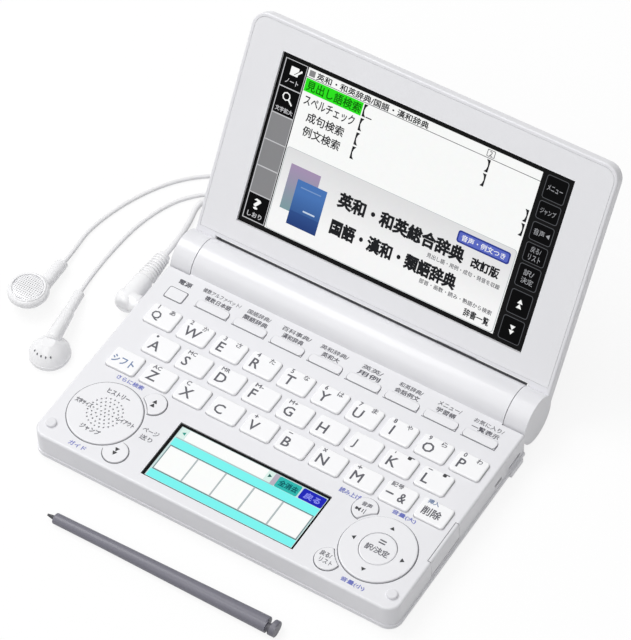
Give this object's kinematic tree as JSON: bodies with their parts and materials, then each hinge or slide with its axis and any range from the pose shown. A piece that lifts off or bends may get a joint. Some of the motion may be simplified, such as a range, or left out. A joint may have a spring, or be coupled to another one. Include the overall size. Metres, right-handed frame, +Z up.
{
  "type": "electronic dictionary",
  "caption": "Pocket electronic dictionary with a hinged lid, letter keys, a writing window, a stylus and corded earphones",
  "frame": {"origin": "on the table, under the middle of the base, which stands on its feet", "axes": "+X to the user's right, +Y from the front edge to the hinge, +Z up"},
  "size_m": [0.1975, 0.1851, 0.0897],
  "materials": {
    "key_plastic": "smooth white, lettered",
    "case_plastic": "satin pale grey-white",
    "cell_jacket": "printed sleeve, bare",
    "board": "green circuit board",
    "mat_rubber": "translucent grey rubber",
    "screen_glass": "black glass over a lit panel",
    "speaker_metal": "black cone and basket",
    "foot_rubber": "soft pale grey",
    "steel": "bright steel",
    "stylus_plastic": "grey",
    "cord_sheath": "white soft sheath",
    "earphone_plastic": "white, with grey grilles"
  },
  "bodies": {
    "base": {"deck_panel": "case_plastic", "bottom_case": "case_plastic", "batteries": "cell_jacket", "circuit_board": "board", "key_mat": "mat_rubber", "writing_screen": "screen_glass", "speaker_unit": "speaker_metal", "rubber_feet": "foot_rubber", "case_screws": "steel", "hinge_pins": "steel"},
    "lid": {"lid_cover": "case_plastic", "lid_bezel": "case_plastic", "main_screen": "screen_glass"},
    "hatch": {"battery_cover": "case_plastic"},
    "card_door": {"card_cover": "case_plastic"},
    "pen": {"stylus": "stylus_plastic"},
    "earphones": {"earphone_plug": "earphone_plastic", "cord_lead": "cord_sheath", "cord_coil": "cord_sheath", "cord_left": "cord_sheath", "cord_right": "cord_sheath", "earphone_fittings": "earphone_plastic"},
    "button_q": {"key_q": "key_plastic"},
    "button_w": {"key_w": "key_plastic"},
    "button_e": {"key_e": "key_plastic"},
    "button_r": {"key_r": "key_plastic"},
    "button_t": {"key_t": "key_plastic"},
    "button_y": {"key_y": "key_plastic"},
    "button_u": {"key_u": "key_plastic"},
    "button_i": {"key_i": "key_plastic"},
    "button_o": {"key_o": "key_plastic"},
    "button_p": {"key_p": "key_plastic"},
    "button_a": {"key_a": "key_plastic"},
    "button_s": {"key_s": "key_plastic"},
    "button_d": {"key_d": "key_plastic"},
    "button_f": {"key_f": "key_plastic"},
    "button_g": {"key_g": "key_plastic"},
    "button_h": {"key_h": "key_plastic"},
    "button_j": {"key_j": "key_plastic"},
    "button_k": {"key_k": "key_plastic"},
    "button_l": {"key_l": "key_plastic"},
    "button_shift": {"key_shift": "key_plastic"},
    "button_z": {"key_z": "key_plastic"},
    "button_x": {"key_x": "key_plastic"},
    "button_c": {"key_c": "key_plastic"},
    "button_v": {"key_v": "key_plastic"},
    "button_b": {"key_b": "key_plastic"},
    "button_n": {"key_n": "key_plastic"},
    "button_m": {"key_m": "key_plastic"},
    "button_dash": {"key_dash": "key_plastic"},
    "button_delete": {"key_delete": "key_plastic"},
    "function_strip": {"function_key_strip": "key_plastic"},
    "power_button": {"power_key": "key_plastic"},
    "enter_button": {"enter_key": "key_plastic"},
    "cursor_button": {"cursor_ring": "key_plastic"},
    "pad_button": {"quick_pad": "key_plastic"},
    "page_up_button": {"page_up_key": "key_plastic"},
    "page_down_button": {"page_down_key": "key_plastic"},
    "voice_button": {"voice_key": "key_plastic"},
    "back_button": {"back_key": "key_plastic"}
  },
  "joints": [
    {"name": "lid_hinge", "type": "hinge", "parent": "base", "child": "lid", "pos_m": [0, 0.0436, 0.01], "axis": [-1, 0, 0], "range_deg": [-121.7, 33.3]},
    {"name": "hatch_slide", "type": "slide", "parent": "base", "child": "hatch", "axis": [0, 1, 0], "range_m": [0, 0.0024]},
    {"name": "card_door_hinge", "type": "hinge", "parent": "base", "child": "card_door", "pos_m": [0.07365, -0.0194, 0.00485], "axis": [0, 1, 0], "range_deg": [0, 90]},
    {"name": "pen_lift", "type": "slide", "parent": "base", "child": "pen", "axis": [0, 0, 1], "range_m": [0, 0.03]},
    {"name": "plug_pull", "type": "slide", "parent": "base", "child": "earphones", "axis": [-1, 0, 0], "range_m": [0, 0.014]},
    {"name": "button_q_press", "type": "slide", "parent": "base", "child": "button_q", "axis": [0, 0, -1], "range_m": [0, 0.0008], "stiffness_N_per_m": 60, "springref_m": -0.002},
    {"name": "button_w_press", "type": "slide", "parent": "base", "child": "button_w", "axis": [0, 0, -1], "range_m": [0, 0.0008], "stiffness_N_per_m": 60, "springref_m": -0.002},
    {"name": "button_e_press", "type": "slide", "parent": "base", "child": "button_e", "axis": [0, 0, -1], "range_m": [0, 0.0008], "stiffness_N_per_m": 60, "springref_m": -0.002},
    {"name": "button_r_press", "type": "slide", "parent": "base", "child": "button_r", "axis": [0, 0, -1], "range_m": [0, 0.0008], "stiffness_N_per_m": 60, "springref_m": -0.002},
    {"name": "button_t_press", "type": "slide", "parent": "base", "child": "button_t", "axis": [0, 0, -1], "range_m": [0, 0.0008], "stiffness_N_per_m": 60, "springref_m": -0.002},
    {"name": "button_y_press", "type": "slide", "parent": "base", "child": "button_y", "axis": [0, 0, -1], "range_m": [0, 0.0008], "stiffness_N_per_m": 60, "springref_m": -0.002},
    {"name": "button_u_press", "type": "slide", "parent": "base", "child": "button_u", "axis": [0, 0, -1], "range_m": [0, 0.0008], "stiffness_N_per_m": 60, "springref_m": -0.002},
    {"name": "button_i_press", "type": "slide", "parent": "base", "child": "button_i", "axis": [0, 0, -1], "range_m": [0, 0.0008], "stiffness_N_per_m": 60, "springref_m": -0.002},
    {"name": "button_o_press", "type": "slide", "parent": "base", "child": "button_o", "axis": [0, 0, -1], "range_m": [0, 0.0008], "stiffness_N_per_m": 60, "springref_m": -0.002},
    {"name": "button_p_press", "type": "slide", "parent": "base", "child": "button_p", "axis": [0, 0, -1], "range_m": [0, 0.0008], "stiffness_N_per_m": 60, "springref_m": -0.002},
    {"name": "button_a_press", "type": "slide", "parent": "base", "child": "button_a", "axis": [0, 0, -1], "range_m": [0, 0.0008], "stiffness_N_per_m": 60, "springref_m": -0.002},
    {"name": "button_s_press", "type": "slide", "parent": "base", "child": "button_s", "axis": [0, 0, -1], "range_m": [0, 0.0008], "stiffness_N_per_m": 60, "springref_m": -0.002},
    {"name": "button_d_press", "type": "slide", "parent": "base", "child": "button_d", "axis": [0, 0, -1], "range_m": [0, 0.0008], "stiffness_N_per_m": 60, "springref_m": -0.002},
    {"name": "button_f_press", "type": "slide", "parent": "base", "child": "button_f", "axis": [0, 0, -1], "range_m": [0, 0.0008], "stiffness_N_per_m": 60, "springref_m": -0.002},
    {"name": "button_g_press", "type": "slide", "parent": "base", "child": "button_g", "axis": [0, 0, -1], "range_m": [0, 0.0008], "stiffness_N_per_m": 60, "springref_m": -0.002},
    {"name": "button_h_press", "type": "slide", "parent": "base", "child": "button_h", "axis": [0, 0, -1], "range_m": [0, 0.0008], "stiffness_N_per_m": 60, "springref_m": -0.002},
    {"name": "button_j_press", "type": "slide", "parent": "base", "child": "button_j", "axis": [0, 0, -1], "range_m": [0, 0.0008], "stiffness_N_per_m": 60, "springref_m": -0.002},
    {"name": "button_k_press", "type": "slide", "parent": "base", "child": "button_k", "axis": [0, 0, -1], "range_m": [0, 0.0008], "stiffness_N_per_m": 60, "springref_m": -0.002},
    {"name": "button_l_press", "type": "slide", "parent": "base", "child": "button_l", "axis": [0, 0, -1], "range_m": [0, 0.0008], "stiffness_N_per_m": 60, "springref_m": -0.002},
    {"name": "button_shift_press", "type": "slide", "parent": "base", "child": "button_shift", "axis": [0, 0, -1], "range_m": [0, 0.0008], "stiffness_N_per_m": 60, "springref_m": -0.002},
    {"name": "button_z_press", "type": "slide", "parent": "base", "child": "button_z", "axis": [0, 0, -1], "range_m": [0, 0.0008], "stiffness_N_per_m": 60, "springref_m": -0.002},
    {"name": "button_x_press", "type": "slide", "parent": "base", "child": "button_x", "axis": [0, 0, -1], "range_m": [0, 0.0008], "stiffness_N_per_m": 60, "springref_m": -0.002},
    {"name": "button_c_press", "type": "slide", "parent": "base", "child": "button_c", "axis": [0, 0, -1], "range_m": [0, 0.0008], "stiffness_N_per_m": 60, "springref_m": -0.002},
    {"name": "button_v_press", "type": "slide", "parent": "base", "child": "button_v", "axis": [0, 0, -1], "range_m": [0, 0.0008], "stiffness_N_per_m": 60, "springref_m": -0.002},
    {"name": "button_b_press", "type": "slide", "parent": "base", "child": "button_b", "axis": [0, 0, -1], "range_m": [0, 0.0008], "stiffness_N_per_m": 60, "springref_m": -0.002},
    {"name": "button_n_press", "type": "slide", "parent": "base", "child": "button_n", "axis": [0, 0, -1], "range_m": [0, 0.0008], "stiffness_N_per_m": 60, "springref_m": -0.002},
    {"name": "button_m_press", "type": "slide", "parent": "base", "child": "button_m", "axis": [0, 0, -1], "range_m": [0, 0.0008], "stiffness_N_per_m": 60, "springref_m": -0.002},
    {"name": "button_dash_press", "type": "slide", "parent": "base", "child": "button_dash", "axis": [0, 0, -1], "range_m": [0, 0.0008], "stiffness_N_per_m": 60, "springref_m": -0.002},
    {"name": "button_delete_press", "type": "slide", "parent": "base", "child": "button_delete", "axis": [0, 0, -1], "range_m": [0, 0.0008], "stiffness_N_per_m": 60, "springref_m": -0.002},
    {"name": "function_strip_press", "type": "slide", "parent": "base", "child": "function_strip", "axis": [0, 0, -1], "range_m": [0, 0.0005], "stiffness_N_per_m": 80, "springref_m": -0.002},
    {"name": "power_button_press", "type": "slide", "parent": "base", "child": "power_button", "axis": [0, 0, -1], "range_m": [0, 0.0005], "stiffness_N_per_m": 80, "springref_m": -0.002},
    {"name": "enter_button_press", "type": "slide", "parent": "base", "child": "enter_button", "axis": [0, 0, -1], "range_m": [0, 0.0005], "stiffness_N_per_m": 80, "springref_m": -0.002},
    {"name": "cursor_button_press", "type": "slide", "parent": "base", "child": "cursor_button", "axis": [0, 0, -1], "range_m": [0, 0.0005], "stiffness_N_per_m": 80, "springref_m": -0.002},
    {"name": "pad_button_press", "type": "slide", "parent": "base", "child": "pad_button", "axis": [0, 0, -1], "range_m": [0, 0.0005], "stiffness_N_per_m": 80, "springref_m": -0.002},
    {"name": "page_up_button_press", "type": "slide", "parent": "base", "child": "page_up_button", "axis": [0, 0, -1], "range_m": [0, 0.0008], "stiffness_N_per_m": 80, "springref_m": -0.002},
    {"name": "page_down_button_press", "type": "slide", "parent": "base", "child": "page_down_button", "axis": [0, 0, -1], "range_m": [0, 0.0008], "stiffness_N_per_m": 80, "springref_m": -0.002},
    {"name": "voice_button_press", "type": "slide", "parent": "base", "child": "voice_button", "axis": [0, 0, -1], "range_m": [0, 0.0008], "stiffness_N_per_m": 80, "springref_m": -0.002},
    {"name": "back_button_press", "type": "slide", "parent": "base", "child": "back_button", "axis": [0, 0, -1], "range_m": [0, 0.0008], "stiffness_N_per_m": 80, "springref_m": -0.002}
  ]
}
